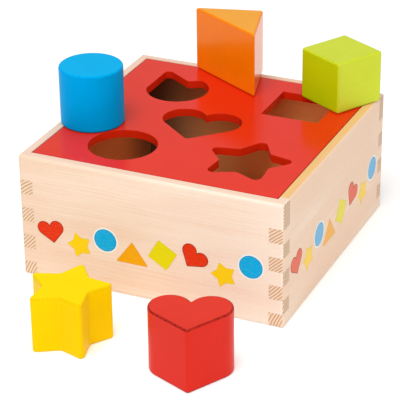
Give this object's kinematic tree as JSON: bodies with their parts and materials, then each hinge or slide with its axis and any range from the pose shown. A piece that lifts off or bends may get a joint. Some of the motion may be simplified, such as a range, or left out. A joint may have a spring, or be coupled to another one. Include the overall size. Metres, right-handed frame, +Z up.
{
  "type": "shape sorter",
  "caption": "Square wooden box with finger-jointed corners and a lift-out lid with shaped holes for round, triangular, square, star and heart blocks.",
  "frame": {"origin": "middle of the underside of the base panel, level with the bottom edges of the walls and with the ground", "axes": "+Z up out of the box; +Y from the front wall to the back wall, so that -Y is the side where the star and heart blocks lie; +X to the right"},
  "size_m": [0.1726, 0.2593, 0.122],
  "materials": {
    "beech": "bare, sanded",
    "plywood": "bare, sanded",
    "lid_lacquer": "gloss lacquer",
    "blue_lacquer": "semi-gloss lacquer",
    "orange_lacquer": "semi-gloss lacquer",
    "green_lacquer": "semi-gloss lacquer",
    "yellow_lacquer": "semi-gloss lacquer",
    "red_lacquer": "semi-gloss lacquer",
    "red_ink": "printed ink",
    "yellow_ink": "printed ink",
    "blue_ink": "printed ink",
    "white_ink": "printed ink",
    "orange_ink": "printed ink",
    "lime_ink": "printed ink"
  },
  "bodies": {
    "box": {"front_wall": "beech", "back_wall": "beech", "left_wall": "beech", "right_wall": "beech", "base_panel": "plywood", "printed_hearts": "red_ink", "printed_stars": "yellow_ink", "printed_circles": "blue_ink", "printed_rings": "white_ink", "printed_triangles": "orange_ink", "printed_squares": "lime_ink"},
    "lid": {"lid_panel": "lid_lacquer"},
    "round_block": {"round_block": "blue_lacquer"},
    "triangle_block": {"triangle_block": "orange_lacquer"},
    "cube_block": {"cube_block": "green_lacquer"},
    "star_block": {"star_block": "yellow_lacquer"},
    "heart_block": {"heart_block": "red_lacquer"}
  },
  "joints": [
    {"name": "lid_lift", "type": "slide", "parent": "box", "child": "lid", "axis": [0, 0, 1], "range_m": [0, 0.06]},
    {"name": "round_block_lift", "type": "slide", "parent": "lid", "child": "round_block", "axis": [0, 0, 1], "range_m": [0, 0.05]},
    {"name": "triangle_block_lift", "type": "slide", "parent": "lid", "child": "triangle_block", "axis": [0, 0, 1], "range_m": [0, 0.05]},
    {"name": "cube_block_lift", "type": "slide", "parent": "lid", "child": "cube_block", "axis": [0, 0, 1], "range_m": [0, 0.05]},
    {"name": "star_block_lift", "type": "slide", "parent": "box", "child": "star_block", "axis": [0, 0, 1], "range_m": [0, 0.08]},
    {"name": "heart_block_lift", "type": "slide", "parent": "box", "child": "heart_block", "axis": [0, 0, 1], "range_m": [0, 0.08]}
  ]
}
